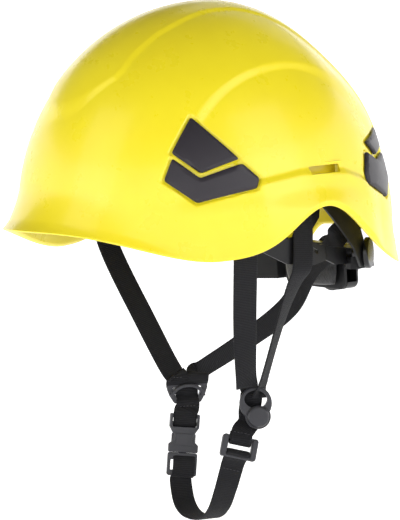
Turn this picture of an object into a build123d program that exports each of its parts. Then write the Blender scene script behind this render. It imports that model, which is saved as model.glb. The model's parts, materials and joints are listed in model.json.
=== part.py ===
"""Climbing helmet: moulded shell, lamp clips, textile cradle, adjustable headband and chin strap.

Frame, in millimetres: +Z is up, the front is -Y and the wearer's left is +X. The origin is the
middle of the head opening, at the height of the brow. One STEP file is written per sub-part.
"""
from build123d import *
import os
from math import atan2, cos, exp, hypot, pi, radians, sin, sqrt

# Shell: an ellipsoid with a longer front half, a brim, ear arches and a low nape
FRONT_REACH = 140.0
REAR_REACH = 114.5
HALF_WIDTH = 105.8
CROWN_HEIGHT = 130.0
WIDEST_LEVEL = -14.0
CROWN_LEAN = -5.0
WALL = 3.2
BRIM_REACH = 9.0
BRIM_ANGLE = 55.0
RIM_FLARE = 3.5
FLARE_HEIGHT = 28.0
FLARE_POWER = 1.7
SKIRT_BELOW_RIM = 9.0

# Rim height along the side, front to back
FRONT_RIM = -8.0
FRONT_Y = -158.0
TEMPLE_DROP = 22.7
TEMPLE_Y = -65.0
NAPE_DROP = 20.0
NAPE_FROM_Y = 22.0
NAPE_TO_Y = 106.5
EAR_ARCH_RISE = 27.0
EAR_ARCH_Y = 7.6
EAR_ARCH_HALF_WIDTH = 34.0
NAPE_ARCH_TOP = -30.7
NAPE_ARCH_HALF_WIDTH = 38.0

# Lamp clips
POCKET_DEPTH = 1.7
PLATE_UNDERSIDE = 1.5
PLATE_TOP = 1.1
POCKET_MARGIN = 0.4

# Headband, an ellipse about the head's centre
HEAD_Y = -8.0
BAND_HALF_WIDTH = 76.0
BAND_HALF_LENGTH = 94.0
BAND_WALL = 2.0
ARM_HALF_WIDTH = 90.0
ARM_HALF_LENGTH = 105.0
ARM_WALL = 2.2
BROW_PAD = 6.0

# Nape unit
NAPE_Y = 80.0
NAPE_Z = -52.0
PINION_Y = 78.9
HOUSING_HALF_WIDTH = 34.0
HOUSING_HALF_HEIGHT = 15.0
HOUSING_DEPTH = 10.0
KNOB_RADIUS = 19.0
SHAFT_RADIUS = 4.0
RUNNING_CLEARANCE = 0.05
PITCH_RADIUS = 5.0
TEETH = 10
TOOTH_HEIGHT = 1.8
RACK_START = -12.0
RACK_END = 47.0
RACK_DEPTH = 3.2
LEFT_BLOCK_LOW = -50.5
RIGHT_BLOCK_LOW = -63.5
BLOCK_HIGH = -36.5
BLOCK_SKIN = 1.6
WAY_HIGH = -42.2
KNOB_DEPTH = 12.0
KNOB_FLUTES = 24
PIN_RADIUS = 2.5
PIVOT_Y = 26.0
PIVOT_Z = 4.0
PIVOT_RADIUS = 3.0
RIVET_RADIUS = 3.0

# Webbing and its hardware
WEB_WIDTH = 15.0
WEB_THICKNESS = 1.4
BUCKLE_TOP = Vector(-42, -10, -147.5)
BUCKLE_END = Vector(-40, -17, -188)
DIVIDER = Vector(-42, -7.5, -131)
ADJUSTER = Vector(42, -8.5, -131.5)
GLIDE = Vector(40, -21.7, -159)


def smooth(x):
    x = min(max(x, 0.0), 1.0)
    return x * x * (3 - 2 * x)


# ---------------------------------------------------------------- shell surface

def rim_height(y):
    """Height of the shell's rim at a place y along the helmet."""
    front = FRONT_RIM - TEMPLE_DROP * smooth((y - FRONT_Y) / (TEMPLE_Y - FRONT_Y))
    arch = EAR_ARCH_RISE * exp(-((y - EAR_ARCH_Y) / EAR_ARCH_HALF_WIDTH) ** 2)
    return front - NAPE_DROP * smooth((y - NAPE_FROM_Y) / (NAPE_TO_Y - NAPE_FROM_Y)) + arch


def plan(angle, z, out):
    """Ellipsoid point at an angle from the front, before the flare. out moves it outwards."""
    level = (z - WIDEST_LEVEL) / (CROWN_HEIGHT + out - WIDEST_LEVEL)
    level = min(max(level, 0.0), 1.0)
    share = sqrt(1 - level * level)
    c = cos(angle)
    reach = (FRONT_REACH + REAR_REACH) / 2 + (FRONT_REACH - REAR_REACH) / 2 * c * (1.5 - 0.5 * c * c)
    x = (HALF_WIDTH + out) * share * sin(angle)
    return x, CROWN_LEAN * level - (reach + out) * share * c


def flare_at(angle):
    return RIM_FLARE + BRIM_REACH * (1 - smooth(abs(angle) / radians(BRIM_ANGLE)))


def rim_at(angle):
    """Height of the rim in the direction angle, found by a few corrections."""
    z = -20.0
    for _ in range(6):
        z = rim_height(plan(angle, z, 0)[1] - flare_at(angle) * cos(angle))
    return z


def shell_point(angle, share, out):
    """share runs from 0 below the rim to 1 at the crown."""
    rim = rim_at(angle)
    low = rim - SKIRT_BELOW_RIM
    z = low + (CROWN_HEIGHT + out - low) * sin(share * pi / 2)
    x, y = plan(angle, z, out)
    flare = flare_at(angle) * max(1 - (z - rim) / FLARE_HEIGHT, 0.0) ** FLARE_POWER
    return Vector(x + flare * sin(angle), y - flare * cos(angle), z)


def dome(out, count=21):
    """Everything under the shell's surface, moved outwards by out, down to a deep level."""
    rows = []
    for i in range(count):
        s = 2 * i / (count - 1) - 1
        row = []
        for j in range(count):
            t = 2 * j / (count - 1) - 1
            u = s * sqrt(1 - t * t / 2)
            v = t * sqrt(1 - s * s / 2)
            row.append(shell_point(atan2(u, -v), 1 - min(hypot(u, v), 1.0), out))
        rows.append(row)
    skin = Face.make_surface_from_array_of_points(rows)
    return Solid.extrude(skin, Vector(0, 0, -120))


def below_rim():
    """The space under the rim, as seen from the side, right across the helmet."""
    stations = [-220 + 10 * i for i in range(40)]
    edge = Spline(*[(y, rim_height(y)) for y in stations])
    low = Polyline((stations[-1], rim_height(stations[-1])), (stations[-1], -260),
                   (stations[0], -260), (stations[0], rim_height(stations[0])))
    return extrude(Plane.YZ * make_face(edge + low), 160, both=True)


def nape_arch():
    """Opening under the back of the shell, between its two lobes."""
    half = NAPE_ARCH_HALF_WIDTH
    right = [(half, NAPE_ARCH_TOP), (half + 19, NAPE_ARCH_TOP - 19), (half + 28, NAPE_ARCH_TOP - 31)]
    left = [(-x, z) for x, z in reversed(right)]
    outline = Polygon(*right, *left, align=None)
    outline = fillet(outline.vertices().sort_by(Axis.Y)[-2:], 10)
    return Pos(0, NAPE_Y - 20, 0) * extrude(Plane.XZ * outline, 100, dir=(0, 1, 0))


def facing_prism(corners, centre, grow=0.0, rounding=1.5, depth=30):
    """A prism through the shell whose outline is the corners, seen square-on from outside."""
    normal = centre.normalized()
    plane = Plane(origin=centre, x_dir=Vector(0, 0, 1).cross(normal), z_dir=normal)
    flat = [plane.to_local_coords(Vector(*c)) for c in corners]
    outline = Polygon(*[(p.X, p.Y) for p in flat], align=None)
    if grow:
        outline = offset(outline, amount=grow, kind=Kind.INTERSECTION)
    outline = fillet(outline.vertices(), rounding)
    return extrude(plane * outline, depth, both=True)


FRONT_COVER = [(75.5, -68, 57.3), (93, -45.5, 30.3), (86.4, -69.8, 23.1), (76, -83.6, 36.3)]
FRONT_CLIP = [(77, -83.8, 33.2), (76.2, -90.2, 19.9), (86.9, -73.9, 5.2), (98.4, -37, 11.5),
              (98.0, -34.5, 17.5), (93.9, -44, 27.3), (86.6, -70.5, 20.2)]
REAR_COVER = [(52, 87, 41), (82.5, 58, 33), (79, 68, 24), (64, 80.5, 27)]
REAR_CLIP = [(63, 81.5, 24.2), (66, 88, 8), (78.5, 76, -4), (91, 50, 7), (90.5, 50, 15),
             (86, 55, 27), (79.5, 68.5, 20.8)]


def clip_plate(corners, centre, top, underside):
    """Plate that follows the shell, between two offset surfaces."""
    return (facing_prism(corners, centre) & top) - underside


def ear_slot():
    """Accessory slot through the wall over the ear arch, for ear defenders."""
    return Pos(100, 13, 19.5) * fillet(Box(50, 26, 5.4).edges().filter_by(Axis.X), 1.2)


# ---------------------------------------------------------------- headband and cradle

def ellipse_band(half_width, half_length, wall, low, high):
    ring = Ellipse(half_width + wall, half_length + wall) - Ellipse(half_width, half_length)
    return Pos(0, HEAD_Y, low) * extrude(ring, high - low)


def side_prism(points, rounding=0.0):
    """The left half-space under an outline drawn in the side view."""
    outline = Polygon(*points, align=None)
    if rounding:
        outline = fillet(outline.vertices(), rounding)
    return extrude(Plane.YZ * outline, 130, dir=(1, 0, 0))


def front_wedge(half_angle, low, high):
    """A wedge opening forwards from the head's centre."""
    far = 200
    side = far * sin(radians(half_angle))
    ahead = -far * cos(radians(half_angle))
    outline = Polygon((0, 0), (side, ahead), (side, -far), (-side, -far), (-side, ahead), align=None)
    return Pos(0, HEAD_Y, low) * extrude(outline, high - low, dir=(0, 0, 1))


def brow_band():
    band = ellipse_band(BAND_HALF_WIDTH, BAND_HALF_LENGTH, BAND_WALL, -8, 22)
    return band & front_wedge(62, -20, 40)


def brow_pad():
    pad = ellipse_band(BAND_HALF_WIDTH - BROW_PAD, BAND_HALF_LENGTH - BROW_PAD, BROW_PAD - 0.4, -11, 23)
    return pad & front_wedge(48, -20, 40)


SIDE_BAND = [(-44.4, -8), (-44.4, 10), (-16, 10), (-12, -12), (-2, -24), (2.8, -23), (8, -14),
             (14, 6), (30, 6), (27, -13), (20, -19.5), (17, -27), (26.5, -30.5), (32, -30.5),
             (32, -41), (17, -43), (-3.6, -39.5), (-18, -32), (-36, -20)]
SIDE_TAIL = [(32.4, -30.8), (40, -33.5), (59.3, -36), (59.3, -47), (42, -45), (32.4, -41)]
REAR_ARM = [(17, 14), (35, 14), (48, -8), (60, -22), (66.5, -33), (66.5, -48), (58.5, -48),
            (50, -35), (16, -2)]


def side_band():
    band = ellipse_band(BAND_HALF_WIDTH, BAND_HALF_LENGTH, BAND_WALL, -60, 40)
    plate = band & side_prism(SIDE_BAND, 1.2)
    slot = Pos(77, 20.4, -33) * Rot(X=-28) * Box(30, 8.5, 2.4)
    return plate - slot


def side_tail():
    band = ellipse_band(BAND_HALF_WIDTH, BAND_HALF_LENGTH, BAND_WALL, -60, 40)
    return band & side_prism(SIDE_TAIL)


def rear_arm():
    """Rear arm: a smooth curved band from its pivot under the shell down to the nape unit."""
    band = ellipse_band(ARM_HALF_WIDTH, ARM_HALF_LENGTH, ARM_WALL, -60, 40)
    pivot_bore = Pos(88, PIVOT_Y, PIVOT_Z) * Rot(Y=90) * Cylinder(PIVOT_RADIUS + RUNNING_CLEARANCE, 40)
    return (band & side_prism(REAR_ARM, 2.0)) - pivot_bore - rivet_bore()


def band_frame(y, z, half_width, half_length):
    """Plane on the outside of an elliptical band, its normal facing outwards, its y axis up."""
    across = y - HEAD_Y
    x = half_width * sqrt(1 - (across / half_length) ** 2)
    normal = Vector(x / half_width ** 2, across / half_length ** 2, 0)
    return Plane(origin=(x, y, z), x_dir=Vector(0, 0, 1).cross(normal), z_dir=normal)


CRADLE_LEVEL = 16.0
CRADLE_WIDTH = 20.0
CRADLE_SIDE = 92.0
CRADLE_DIAGONAL = 104.0
CRADLE_TURN = 58
CRADLE_HEIGHT = 90.0
CRADLE_STEP = 2.2


def cradle_strap(turn, half_length, height):
    """Half an elliptical hoop of webbing over the crown, in a vertical plane."""
    hoop = Ellipse(half_length + WEB_THICKNESS, height + WEB_THICKNESS) - Ellipse(half_length, height)
    upper = Pos(0, 150) * Rectangle(400, 300)
    strap = extrude(Plane.XZ * (hoop & upper), CRADLE_WIDTH / 2, both=True)
    return Pos(0, HEAD_Y, CRADLE_LEVEL) * Rot(Z=turn) * strap


def wall_block(place, outward, inside, width=19, height=12, gap=1.0):
    """Moulded block that fills the space between a band or webbing and the shell's inner wall."""
    outward = Vector(*outward).normalized()
    plane = Plane(origin=place, x_dir=Vector(0, 0, 1).cross(outward), z_dir=outward)
    block = Pos(0, 0, gap) * Box(width, height, 40, align=(Align.CENTER, Align.CENTER, Align.MIN))
    block = fillet(block.edges().filter_by(Axis.Z), 2.0)
    return (plane * block) & inside


def both_sides(shape):
    return [shape, mirror(shape, Plane.YZ)]


def cradle_anchors(inside):
    """Six blocks that hold the ends of the cradle's webbing."""
    blocks = []
    ends = ((0, CRADLE_SIDE), (CRADLE_TURN, CRADLE_DIAGONAL), (-CRADLE_TURN, CRADLE_DIAGONAL))
    for turn, half_length in ends:
        for side in (-1, 1):
            away = Vector(side * cos(radians(turn)), side * sin(radians(turn)), 0)
            place = Vector(0, HEAD_Y, CRADLE_LEVEL + 7) + away * (half_length + WEB_THICKNESS)
            blocks.append(wall_block(place, away, inside, gap=0.3))
    return Compound(children=blocks)


def brow_hooks(inside):
    """Hooks that hang the brow band and the side bands in the shell."""
    blocks = []
    for y, z in ((-86, 10), (-24, 2)):
        frame = band_frame(y, z, BAND_HALF_WIDTH + BAND_WALL, BAND_HALF_LENGTH + BAND_WALL)
        blocks += both_sides(wall_block(frame.origin, frame.z_dir, inside, 10, 9, 0.1))
    return Compound(children=blocks)


def strap_anchors(inside):
    """Four blocks in the shell that hold the upper ends of the chin strap."""
    blocks = both_sides(wall_block(Vector(92.4, -41, -6), (0.95, -0.3, 0), inside, 17, 10))
    blocks.append(wall_block(Vector(46, 89, -14), (0.25, 0.97, 0), inside, 17, 12, 2.2))
    blocks.append(wall_block(Vector(80.4, 8.5, 6), (1, 0, 0), inside, 13, 10))
    return Compound(children=blocks)


def arm_pivots(inside):
    """Pivot pins of the rear arms, each with a head inside and a block on the shell."""
    reach = (ARM_HALF_WIDTH + ARM_WALL) * sqrt(1 - ((PIVOT_Y - HEAD_Y) / (ARM_HALF_LENGTH + ARM_WALL)) ** 2)
    block = wall_block(Vector(reach + 2.4, PIVOT_Y, PIVOT_Z), (1, 0, 0), inside, 16, 12, 0)
    pin = Pos(reach, PIVOT_Y, PIVOT_Z) * Rot(Y=90) * Cylinder(PIVOT_RADIUS, 10)
    head = Pos(reach - 5.2, PIVOT_Y, PIVOT_Z) * Rot(Y=90) * Cylinder(5.0, 1.4)
    return Compound(children=both_sides(block + pin + head))


# ---------------------------------------------------------------- nape unit

def nape_base():
    """Back plate of the nape unit, with the pin that the pinion turns on."""
    plate = Box(2 * HOUSING_HALF_WIDTH, 2.4, 2 * HOUSING_HALF_HEIGHT)
    plate = fillet(plate.edges().filter_by(Axis.Y), 6)
    pin = Pos(0, 3.7, 0) * Rot(X=90) * Cylinder(PIN_RADIUS, 5.6)
    return Pos(0, NAPE_Y - HOUSING_DEPTH / 2 - 1.4, NAPE_Z) * (plate + pin)


def nape_cover():
    block = Box(2 * HOUSING_HALF_WIDTH, HOUSING_DEPTH, 2 * HOUSING_HALF_HEIGHT)
    block = fillet(block.edges().filter_by(Axis.Y), 6)
    block = fillet(block.faces().sort_by(Axis.Y)[-1].edges(), 2.2)
    depth = HOUSING_DEPTH - 2.4
    hollow = Pos(0, -1.2, 0) * Box(2 * HOUSING_HALF_WIDTH - 5, depth, 2 * HOUSING_HALF_HEIGHT - 6)
    ways = Pos(0, -1.2, 0) * Box(2 * HOUSING_HALF_WIDTH + 4, depth, 20.5)
    bore = Rot(X=90) * Cylinder(SHAFT_RADIUS + RUNNING_CLEARANCE, 40)
    return Pos(0, NAPE_Y, NAPE_Z) * (block - hollow - ways - bore)


def knob():
    """Turning knob with a fluted rim, on a shaft that runs in the cover's bore to the pinion."""
    front = NAPE_Y + HOUSING_DEPTH / 2 + 0.6
    disc = Rot(X=-90) * Cylinder(KNOB_RADIUS, KNOB_DEPTH, align=(Align.CENTER, Align.CENTER, Align.MIN))
    disc = fillet(disc.faces().sort_by(Axis.Y)[-1].edges(), 3.5)
    for i in range(KNOB_FLUTES):
        flute = Pos(KNOB_RADIUS + 0.9, 5.6, 0) * Rot(X=90) * Cylinder(1.7, 9.2)
        disc -= Rot(Y=i * 360 / KNOB_FLUTES) * flute
    dish = Pos(0, KNOB_DEPTH, 0) * Rot(X=90) * Cone(9, 12, 5)
    reach = front - PINION_Y - RACK_DEPTH / 2
    shaft = Rot(X=90) * Cylinder(SHAFT_RADIUS, reach, align=(Align.CENTER, Align.CENTER, Align.MIN))
    return Pos(0, front, NAPE_Z) * (disc - dish + shaft)


def tooth(root, tip, height):
    return Polygon((-root / 2, 0), (root / 2, 0), (tip / 2, height), (-tip / 2, height), align=None)


def pinion():
    """Ten-tooth pinion between the two racks."""
    root = PITCH_RADIUS - TOOTH_HEIGHT / 2
    gear = Circle(root)
    for i in range(TEETH):
        gear += Rot(Z=i * 360 / TEETH) * Pos(0, root - 0.2) * tooth(1.7, 0.6, TOOTH_HEIGHT + 0.1)
    body = Rot(X=90) * extrude(gear, RACK_DEPTH / 2, both=True)
    body -= Rot(X=90) * Cylinder(PIN_RADIUS + RUNNING_CLEARANCE, 10)
    return Pos(0, PINION_Y, NAPE_Z) * body


def rack(side):
    """Toothed strap. The left one passes over the pinion, the right one under it."""
    pitch = 2 * pi * PITCH_RADIUS / TEETH
    base = PITCH_RADIUS + TOOTH_HEIGHT / 2 + 0.1
    length = RACK_END - RACK_START
    bar = Pos((RACK_START + RACK_END) / 2, base + RACK_DEPTH / 2) * Rectangle(length, RACK_DEPTH)
    for i in range(-4, 10):
        bar += Pos((i + 0.5) * pitch, base + 0.1) * Rot(Z=180) * tooth(1.7, 0.6, TOOTH_HEIGHT)
    solid = Rot(X=90) * extrude(bar, RACK_DEPTH / 2, both=True)
    if side < 0:
        solid = Rot(Y=180) * solid
    return Pos(0, PINION_Y, NAPE_Z) * solid



BLOCK_PLAN = [(39, 69), (39, 81.5), (55.5, 81.5), (59.8, 71.5), (62, 63.5), (59, 60), (54, 60)]


def rack_block(low):
    """Block on the end of a rear arm that receives a rack and carries the round cap."""
    outline = fillet(Polygon(*BLOCK_PLAN, align=None).vertices(), 0.8)
    block = Pos(0, 0, low) * extrude(outline, BLOCK_HIGH - low, dir=(0, 0, 1))
    way_low = low + BLOCK_SKIN
    way = Box(20, RACK_DEPTH + 1.2, WAY_HIGH - way_low)
    return block - Pos(44.5, PINION_Y, (WAY_HIGH + way_low) / 2) * way - rivet_bore()


def cap_place():
    return band_frame(67.5, -40, ARM_HALF_WIDTH + ARM_WALL, ARM_HALF_LENGTH + ARM_WALL)


def rivet_bore():
    return cap_place() * Pos(0, 0, -6) * Cylinder(RIVET_RADIUS + RUNNING_CLEARANCE, 16)


def side_cap():
    """Round cap of the rivet that joins the rear arm to its block."""
    disc = Cylinder(10.2, 3.4, align=(Align.CENTER, Align.CENTER, Align.MIN))
    disc = fillet(disc.faces().sort_by(Axis.Z)[-1].edges(), 1.4)
    shank = Pos(0, 0, -9) * Cylinder(RIVET_RADIUS, 9.5, align=(Align.CENTER, Align.CENTER, Align.MIN))
    return cap_place() * Pos(0, 0, 0.3) * (disc + shank)


def nape_pad():
    pad = Box(58, 5, 26)
    pad = fillet(pad.edges().filter_by(Axis.Y), 8)
    pad = fillet(pad.faces().sort_by(Axis.Y)[0].edges(), 1.6)
    return Pos(0, NAPE_Y - HOUSING_DEPTH / 2 - 5.3, NAPE_Z) * pad


# ---------------------------------------------------------------- webbing

def ribbon(stations, width=WEB_WIDTH, thickness=WEB_THICKNESS):
    """Flat webbing through stations, each a centre and the direction of its width."""
    centres = [Vector(*s[0]) for s in stations]
    sections = []
    for i, (_, wide) in enumerate(stations):
        ahead = centres[min(i + 1, len(centres) - 1)] - centres[max(i - 1, 0)]
        ahead = ahead.normalized()
        wide = Vector(*wide)
        wide = (wide - ahead * wide.dot(ahead)).normalized()
        plane = Plane(origin=centres[i], x_dir=wide, z_dir=ahead)
        sections.append(plane * Rectangle(width, thickness))
    return loft(sections, ruled=True)


LEFT_FRONT = [((92, -42, -6), (0.25, 0.97, 0)), ((87, -40.5, -31), (0.4, 0.92, 0)),
              ((64, -28.5, -80), (0.35, 0.94, 0)), ((45, -16.5, -118.5), (0.1, 1, 0))]
LEFT_REAR = [((45, -4, -118.5), (-0.57, 0.82, 0)), ((60, 2, -78), (-0.55, 0.83, 0)),
             ((73, 4.5, -54), (-0.3, 0.95, 0)), ((79.6, 6.8, -43), (0, 1, 0)),
             ((80.0, 8.5, -24), (0, 1, 0)), ((80.0, 8.5, 11), (0, 1, 0))]
RIGHT_FRONT = [((-92, -40, -6), (-0.2, 0.97, 0)), ((-86.5, -36, -33), (0.2, 0.95, 0)),
               ((-64, -26, -80), (0.3, 0.94, 0)), ((-43, -16, -120), (0.3, 0.95, 0))]
RIGHT_REAR = [((-43, 2, -121), (0.2, -0.6, 0.8)), ((-30, 38, -100), (0.1, -0.5, 0.86)),
              ((-6, 54, -79), (0, -0.25, 0.95)), ((14, 58, -55), (0, -0.1, 1)),
              ((43, 57, -36), (0, -0.1, 1)), ((50, 59, -26.5), (0, -0.1, 1)),
              ((46, 89, -14), (0.1, -0.1, 1))]
CHIN = [((-39.8, -17.4, -189.8), (0.35, 0.93, 0)), ((-37, -19, -197), (0.35, 0.93, 0)),
        ((-30, -21.5, -205), (0.35, 0.93, 0)), ((-19, -24, -209.6), (0.3, 0.95, 0)),
        ((-4, -25.5, -210.6), (0.25, 0.97, 0)), ((10, -26.5, -208), (0.3, 0.95, 0)),
        ((21, -27, -200), (0.35, 0.93, 0)), ((30, -26.8, -186), (0.4, 0.9, 0)),
        ((37.5, -24.4, -167.6), (0.4, 0.9, -0.3))]
GLIDE_STRAP = [((39.4, -18.2, -150.9), (0.4, 0.8, -0.35)), ((39.6, -16.6, -147.2), (0.45, 0.86, -0.2))]
SHORT_STRAP = [((-42, -9.2, -141.0), (0.35, 0.93, 0)), ((-42, -10, -146.9), (0.35, 0.93, 0))]


# ---------------------------------------------------------------- chin hardware

def hardware_plane(origin, up, wide):
    """Local frame of a piece of strap hardware: x across, y up and z out of its face."""
    up = up.normalized()
    wide = (wide - up * wide.dot(up)).normalized()
    return Plane(origin=origin, x_dir=wide, z_dir=wide.cross(up))


BUCKLE = hardware_plane(BUCKLE_TOP, BUCKLE_TOP - BUCKLE_END, Vector(0.45, 0.89, 0))
BUCKLE_WIDTH = 20.0
BUCKLE_DEPTH = 8.0
SOCKET_LENGTH = 26.0
PLUG_LENGTH = 15.5


def buckle_socket():
    """Female half: a webbing bar, a waisted body open below, and a window at each side."""
    half = BUCKLE_WIDTH / 2
    left = [(-half, 0), (-half, -9), (-half + 3.2, -14), (-half + 2.2, -19), (-half, -21),
            (-half, -SOCKET_LENGTH)]
    right = [(-x, y) for x, y in reversed(left)]
    body = extrude(Polygon(*left, *right, align=None), BUCKLE_DEPTH / 2, both=True)
    body = fillet(body.edges().filter_by(Axis.Z), 1.0)
    body = fillet(body.faces().filter_by(Axis.Z).edges(), 0.8)
    web_slot = Pos(0, -5.5) * Box(WEB_WIDTH + 1, 3.4, 20)
    cavity = Pos(0, -18.4) * Box(BUCKLE_WIDTH - 3.4, 17.2, BUCKLE_DEPTH - 3.2)
    windows = Pos(0, -16) * Box(40, 9.6, BUCKLE_DEPTH - 3.2)
    return BUCKLE * (body - web_slot - cavity - windows)


def buckle_plug():
    """Male half: a frame with a webbing bar, a centre guide and a root for each prong."""
    top = -SOCKET_LENGTH - 0.3
    frame = Pos(0, top - PLUG_LENGTH / 2) * Box(BUCKLE_WIDTH, PLUG_LENGTH, 5)
    frame = fillet(frame.edges().filter_by(Axis.Z), 1.5)
    frame -= Pos(0, top - 8.2) * Box(WEB_WIDTH + 0.8, 7.0, 20)
    guide = Pos(0, top + 6.5) * Box(5, 13.6, 2.6)
    return BUCKLE * (frame + guide)


def buckle_prong(side):
    """Sprung side prong with a catch shoulder and a finger pad in the window."""
    root = Pos(side * 6.4, -SOCKET_LENGTH + 3.6) * Box(1.8, 7.2, 3.6)
    pad = Pos(side * 6.6, -SOCKET_LENGTH + 9.6) * Box(3.0, 6.4, 3.6)
    pad = fillet(pad.edges().filter_by(Axis.Z), 1.0)
    return BUCKLE * (root + pad)


def divider():
    """Y divider: an arched upper bar for the two upper straps and a lower window for the short strap."""
    frame = hardware_plane(DIVIDER, Vector(0.05, 0.0, 1), Vector(0.35, 0.93, 0))
    outline = [(-14, 6), (-13, -2), (-9.5, -9), (9.5, -9), (13, -2), (14, 6), (9, 9), (0, 10.5), (-9, 9)]
    plate = extrude(fillet(Polygon(*outline, align=None).vertices(), 1.5), 1.8, both=True)
    lower = Pos(0, -4) * Box(WEB_WIDTH + 1, 5, 20)
    upper = Pos(0, 4.6) * Box(22, 2.4, 20)
    return frame * (plate - lower - upper)


ADJUSTER_FRAME = hardware_plane(ADJUSTER, Vector(-0.1, 0.12, 1), Vector(0.5, 0.86, 0))


BUTTON_PLACE = Pos(1.5, -8.5, 1.6)


def adjuster_body():
    """Rounded side adjuster: a ring that the straps pass through and a seat for its button."""
    ring = extrude(Ellipse(10.5, 11), 3.2, both=True)
    ring = fillet(ring.faces().filter_by(Axis.Z).edges(), 1.4)
    seat = Pos(1.5, -8.5) * Cylinder(8.2, 5.4)
    seat = fillet(seat.faces().filter_by(Axis.Z).edges(), 0.8)
    recess = Pos(1.5, -8.5, 1.4) * Cylinder(7.2, 4)
    eye = Pos(0, 2.5) * extrude(Ellipse(7.4, 5.6), 6, both=True)
    return ADJUSTER_FRAME * (ring + seat - recess - eye)


def adjuster_button():
    """Domed press button on the adjuster."""
    dome_part = Cylinder(7.0, 4.6, align=(Align.CENTER, Align.CENTER, Align.MIN))
    dome_part = fillet(dome_part.faces().sort_by(Axis.Z)[-1].edges(), 2.2)
    return ADJUSTER_FRAME * BUTTON_PLACE * dome_part


GLIDE_FRAME = hardware_plane(GLIDE, Vector(-0.12, 0.35, 0.93), Vector(0.4, 0.8, -0.35))


def tri_glide():
    """Ladder slider: two rounded side posts joined by three bars."""
    frame = fillet(Box(23.5, 14, 3.4).edges().filter_by(Axis.Z), 2.0)
    for y in (-3.1, 3.1):
        frame -= Pos(0, y) * Box(WEB_WIDTH + 1.4, 3.6, 20)
    return GLIDE_FRAME * frame


def write(name, shape):
    print(name, round(shape.volume, 1))
    shape.label = name
    export_step(shape, f"parts/{name}.step")


def main():
    os.makedirs("parts", exist_ok=True)
    outside = dome(0)
    shell = outside - dome(-WALL) - below_rim() - nape_arch()
    pocket_floor = dome(-POCKET_DEPTH)
    plate_top = dome(PLATE_TOP)
    plate_underside = dome(-PLATE_UNDERSIDE)
    front_centre = Vector(86, -62, 28)
    rear_centre = Vector(76, 70, 18)
    pieces = {}
    for name, corners, centre in (("front_left_slot_cover", FRONT_COVER, front_centre),
                                  ("front_left_lamp_clip", FRONT_CLIP, front_centre),
                                  ("rear_left_slot_cover", REAR_COVER, rear_centre),
                                  ("rear_left_lamp_clip", REAR_CLIP, rear_centre)):
        plate = clip_plate(corners, centre, plate_top, plate_underside)
        pocket = facing_prism(corners, centre, POCKET_MARGIN) - pocket_floor
        pieces[name] = plate
        pieces[name.replace("left", "right")] = mirror(plate, Plane.YZ)
        shell = shell - pocket - mirror(pocket, Plane.YZ)
    shell = shell - ear_slot() - mirror(ear_slot(), Plane.YZ)
    pieces["shell"] = shell

    pieces["brow_band"] = brow_band()
    pieces["brow_pad"] = brow_pad()
    for name, made in (("side_band", side_band()), ("side_tail", side_tail()),
                       ("rear_arm", rear_arm()), ("side_cap", side_cap())):
        pieces["left_" + name] = made
        pieces["right_" + name] = mirror(made, Plane.YZ)
    pieces["left_rack_block"] = rack_block(LEFT_BLOCK_LOW)
    pieces["right_rack_block"] = mirror(rack_block(RIGHT_BLOCK_LOW), Plane.YZ)
    pieces["cradle_strap_middle"] = cradle_strap(0, CRADLE_SIDE, CRADLE_HEIGHT)
    second = CRADLE_HEIGHT + CRADLE_STEP
    third = second + CRADLE_STEP
    pieces["cradle_strap_front_right"] = cradle_strap(CRADLE_TURN, CRADLE_DIAGONAL, second)
    pieces["cradle_strap_front_left"] = cradle_strap(-CRADLE_TURN, CRADLE_DIAGONAL, third)
    inside = dome(-WALL - 0.3)
    pieces["cradle_anchors"] = cradle_anchors(inside)
    pieces["band_hooks"] = brow_hooks(inside)
    pieces["strap_anchors"] = strap_anchors(inside)
    pieces["arm_pivots"] = arm_pivots(inside)

    pieces["nape_base"] = nape_base()
    pieces["nape_cover"] = nape_cover()
    pieces["nape_pad"] = nape_pad()
    pieces["size_knob"] = knob()
    pieces["pinion"] = pinion()
    pieces["left_rack"] = rack(1)
    pieces["right_rack"] = rack(-1)

    for name, stations in (("left_front_strap", LEFT_FRONT), ("left_rear_strap", LEFT_REAR),
                           ("right_front_strap", RIGHT_FRONT), ("right_rear_strap", RIGHT_REAR),
                           ("buckle_strap", SHORT_STRAP), ("chin_strap", CHIN),
                           ("adjuster_strap", GLIDE_STRAP)):
        pieces[name] = ribbon(stations)
    pieces["strap_divider"] = divider()
    pieces["side_adjuster"] = adjuster_body()
    pieces["adjuster_button"] = adjuster_button()
    pieces["tri_glide"] = tri_glide()
    pieces["buckle_socket"] = buckle_socket()
    pieces["buckle_plug"] = buckle_plug()
    pieces["left_prong"] = buckle_prong(1)
    pieces["right_prong"] = buckle_prong(-1)
    for name, shape in pieces.items():
        write(name, shape)


main()
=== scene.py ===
import json
import math

import bmesh
import bpy
import numpy as np
from mathutils import Matrix, Vector


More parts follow.
